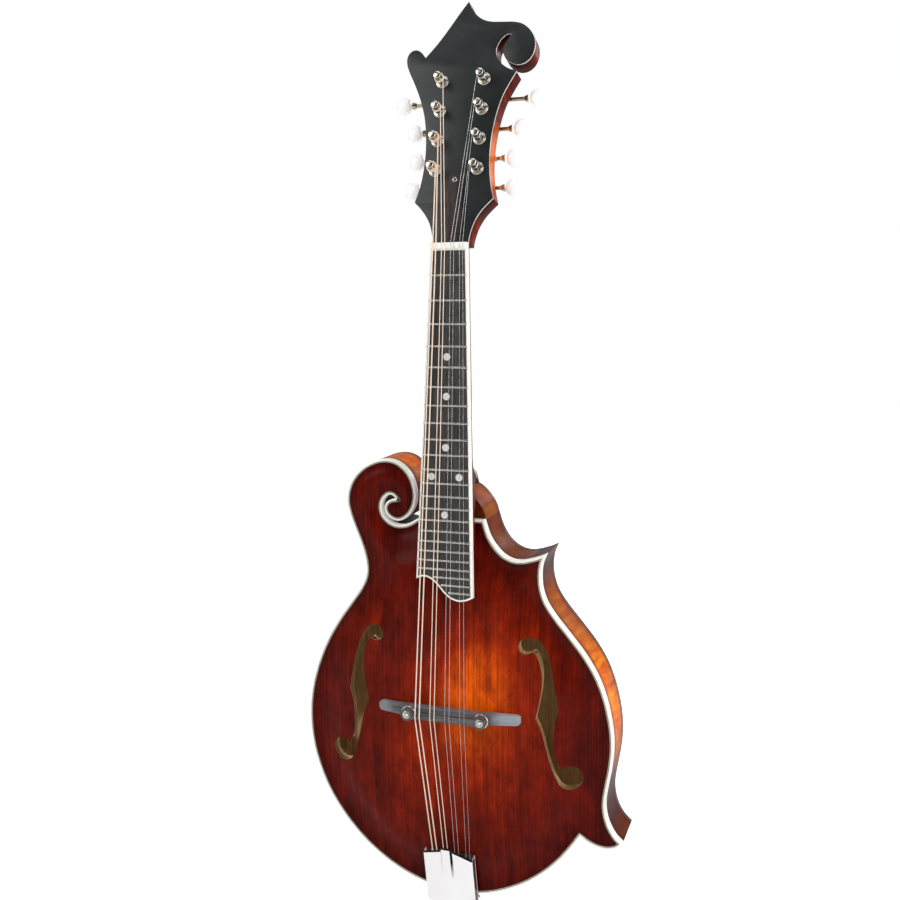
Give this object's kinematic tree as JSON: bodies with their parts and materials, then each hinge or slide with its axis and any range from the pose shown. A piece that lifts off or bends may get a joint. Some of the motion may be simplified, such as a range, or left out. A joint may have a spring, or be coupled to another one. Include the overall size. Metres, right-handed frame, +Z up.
{
  "type": "mandolin",
  "caption": "Scroll-body mandolin with a carved arched top and back, f-holes, paired strings, geared tuners, a height-adjustable bridge and a folded sheet tailpiece.",
  "frame": {"origin": "on the end pin's axis, at the inner face of its round head, where the eye of a strap rests", "axes": "+Z runs up the body and neck to the headstock, +X is the treble side, and the strings face -Y"},
  "size_m": [0.2624, 0.1025, 0.7156],
  "materials": {
    "spruce_top": "glossy red-brown sunburst over fine vertical spruce grain",
    "maple_back": "glossy dark red-brown over flamed maple",
    "binding": "cream plastic, polished",
    "maple_ribs": "glossy amber to dark red over flamed maple",
    "inner_wood": "bare wood",
    "maple_neck": "satin dark red-brown maple",
    "steel": "plain steel",
    "cover_wood": "dark rosewood, satin",
    "nickel": "polished nickel plate",
    "head_black": "satin black lacquer",
    "ebony": "ebony, oiled satin",
    "fretwire": "polished nickel silver",
    "pearl": "pearl",
    "black_dot": "black",
    "bone": "bone, polished",
    "bridge_ebony": "ebony, open grain, matt",
    "chrome_cover": "mirror polished nickel plate",
    "felt": "black felt",
    "black_plastic": "black, polished",
    "bronze_wound": "phosphor bronze wound",
    "plain_steel": "bright plain steel",
    "key_pearl": "white pearloid button on a nickel shaft"
  },
  "bodies": {
    "root": {"top_plate": "spruce_top", "back_plate": "maple_back", "top_binding": "binding", "rib_bass": "maple_ribs", "rib_treble": "maple_ribs", "rib_cutaway": "maple_ribs", "neck_block": "inner_wood", "tail_block": "inner_wood", "point_blocks": "inner_wood", "top_lining": "inner_wood", "back_lining": "inner_wood", "tone_bars": "inner_wood", "neck": "maple_neck", "truss_rod": "steel", "truss_rod_cover": "cover_wood", "truss_cover_screw": "nickel", "headplate": "head_black", "fretboard": "ebony", "fretboard_binding": "binding", "frets": "fretwire", "position_dots": "pearl", "side_dots": "black_dot", "nut": "bone", "bridge_base": "bridge_ebony", "bridge_studs": "nickel", "tailpiece_base": "nickel", "tailpiece_screws": "nickel", "string_damper": "felt", "end_pin": "black_plastic", "tuner_plate_bass": "nickel", "tuner_plate_treble": "nickel", "tuner_plate_screws": "nickel", "tuner_bushings": "nickel", "strings_g": "bronze_wound", "strings_d": "bronze_wound", "strings_a": "plain_steel", "strings_e": "plain_steel"},
    "key_g1": {"tuner_key_g1": "key_pearl"},
    "post_g1": {"tuner_post_g1": "nickel"},
    "key_g2": {"tuner_key_g2": "key_pearl"},
    "post_g2": {"tuner_post_g2": "nickel"},
    "key_d1": {"tuner_key_d1": "key_pearl"},
    "post_d1": {"tuner_post_d1": "nickel"},
    "key_d2": {"tuner_key_d2": "key_pearl"},
    "post_d2": {"tuner_post_d2": "nickel"},
    "key_e1": {"tuner_key_e1": "key_pearl"},
    "post_e1": {"tuner_post_e1": "nickel"},
    "key_e2": {"tuner_key_e2": "key_pearl"},
    "post_e2": {"tuner_post_e2": "nickel"},
    "key_a1": {"tuner_key_a1": "key_pearl"},
    "post_a1": {"tuner_post_a1": "nickel"},
    "key_a2": {"tuner_key_a2": "key_pearl"},
    "post_a2": {"tuner_post_a2": "nickel"},
    "saddle": {"bridge_saddle": "bridge_ebony"},
    "wheel_bass": {"thumbwheel_bass": "nickel"},
    "wheel_treble": {"thumbwheel_treble": "nickel"},
    "cover": {"tailpiece_cover": "chrome_cover"}
  },
  "joints": [
    {"name": "saddle_lift", "type": "slide", "parent": "root", "child": "saddle", "axis": [0, -1, 0], "range_m": [-0.001, 0.002], "deforming": ["strings_g", "strings_d", "strings_a", "strings_e"]},
    {"name": "wheel_bass_turn", "type": "hinge", "parent": "saddle", "child": "wheel_bass", "pos_m": [-0.0295, -0.048, 0.16543], "axis": [0, -1, 0], "range_deg": [-530, 1050]},
    {"name": "wheel_treble_turn", "type": "hinge", "parent": "saddle", "child": "wheel_treble", "pos_m": [0.0295, -0.048, 0.16543], "axis": [0, -1, 0], "range_deg": [-530, 1050]},
    {"name": "cover_slide", "type": "slide", "parent": "root", "child": "cover", "axis": [0, 0.2079, -0.9781], "range_m": [0, 0.05]},
    {"name": "key_g1_turn", "type": "hinge", "parent": "root", "child": "key_g1", "pos_m": [-0.0168, 0.01042, 0.56756], "axis": [1, 0, 0], "continuous": true},
    {"name": "post_g1_turn", "type": "hinge", "parent": "root", "child": "post_g1", "pos_m": [-0.0168, -0.0058, 0.58098], "axis": [0, -0.9608, 0.2773], "continuous": true},
    {"name": "key_g2_turn", "type": "hinge", "parent": "root", "child": "key_g2", "pos_m": [-0.0168, 0.01693, 0.59013], "axis": [1, 0, 0], "continuous": true},
    {"name": "post_g2_turn", "type": "hinge", "parent": "root", "child": "post_g2", "pos_m": [-0.0168, 0.00072, 0.60356], "axis": [0, -0.9608, 0.2773], "continuous": true},
    {"name": "key_d1_turn", "type": "hinge", "parent": "root", "child": "key_d1", "pos_m": [-0.0168, 0.02345, 0.61271], "axis": [1, 0, 0], "continuous": true},
    {"name": "post_d1_turn", "type": "hinge", "parent": "root", "child": "post_d1", "pos_m": [-0.0168, 0.00724, 0.62614], "axis": [0, -0.9608, 0.2773], "continuous": true},
    {"name": "key_d2_turn", "type": "hinge", "parent": "root", "child": "key_d2", "pos_m": [-0.0168, 0.02997, 0.63529], "axis": [1, 0, 0], "continuous": true},
    {"name": "post_d2_turn", "type": "hinge", "parent": "root", "child": "post_d2", "pos_m": [-0.0168, 0.01375, 0.64872], "axis": [0, -0.9608, 0.2773], "continuous": true},
    {"name": "key_e1_turn", "type": "hinge", "parent": "root", "child": "key_e1", "pos_m": [0.0168, 0.01042, 0.56756], "axis": [1, 0, 0], "continuous": true},
    {"name": "post_e1_turn", "type": "hinge", "parent": "root", "child": "post_e1", "pos_m": [0.0168, -0.0058, 0.58098], "axis": [0, -0.9608, 0.2773], "continuous": true},
    {"name": "key_e2_turn", "type": "hinge", "parent": "root", "child": "key_e2", "pos_m": [0.0168, 0.01693, 0.59013], "axis": [1, 0, 0], "continuous": true},
    {"name": "post_e2_turn", "type": "hinge", "parent": "root", "child": "post_e2", "pos_m": [0.0168, 0.00072, 0.60356], "axis": [0, -0.9608, 0.2773], "continuous": true},
    {"name": "key_a1_turn", "type": "hinge", "parent": "root", "child": "key_a1", "pos_m": [0.0168, 0.02345, 0.61271], "axis": [1, 0, 0], "continuous": true},
    {"name": "post_a1_turn", "type": "hinge", "parent": "root", "child": "post_a1", "pos_m": [0.0168, 0.00724, 0.62614], "axis": [0, -0.9608, 0.2773], "continuous": true},
    {"name": "key_a2_turn", "type": "hinge", "parent": "root", "child": "key_a2", "pos_m": [0.0168, 0.02997, 0.63529], "axis": [1, 0, 0], "continuous": true},
    {"name": "post_a2_turn", "type": "hinge", "parent": "root", "child": "post_a2", "pos_m": [0.0168, 0.01375, 0.64872], "axis": [0, -0.9608, 0.2773], "continuous": true}
  ],
  "couplings": [
    {"joint": "wheel_bass_turn", "follows": "saddle_lift", "rad_per_m": 8976},
    {"joint": "wheel_treble_turn", "follows": "saddle_lift", "rad_per_m": 8976},
    {"joint": "post_g1_turn", "follows": "key_g1_turn", "ratio": 0.0625},
    {"joint": "post_g2_turn", "follows": "key_g2_turn", "ratio": 0.0625},
    {"joint": "post_d1_turn", "follows": "key_d1_turn", "ratio": 0.0625},
    {"joint": "post_d2_turn", "follows": "key_d2_turn", "ratio": 0.0625},
    {"joint": "post_e1_turn", "follows": "key_e1_turn", "ratio": 0.0625},
    {"joint": "post_e2_turn", "follows": "key_e2_turn", "ratio": 0.0625},
    {"joint": "post_a1_turn", "follows": "key_a1_turn", "ratio": 0.0625},
    {"joint": "post_a2_turn", "follows": "key_a2_turn", "ratio": 0.0625}
  ]
}
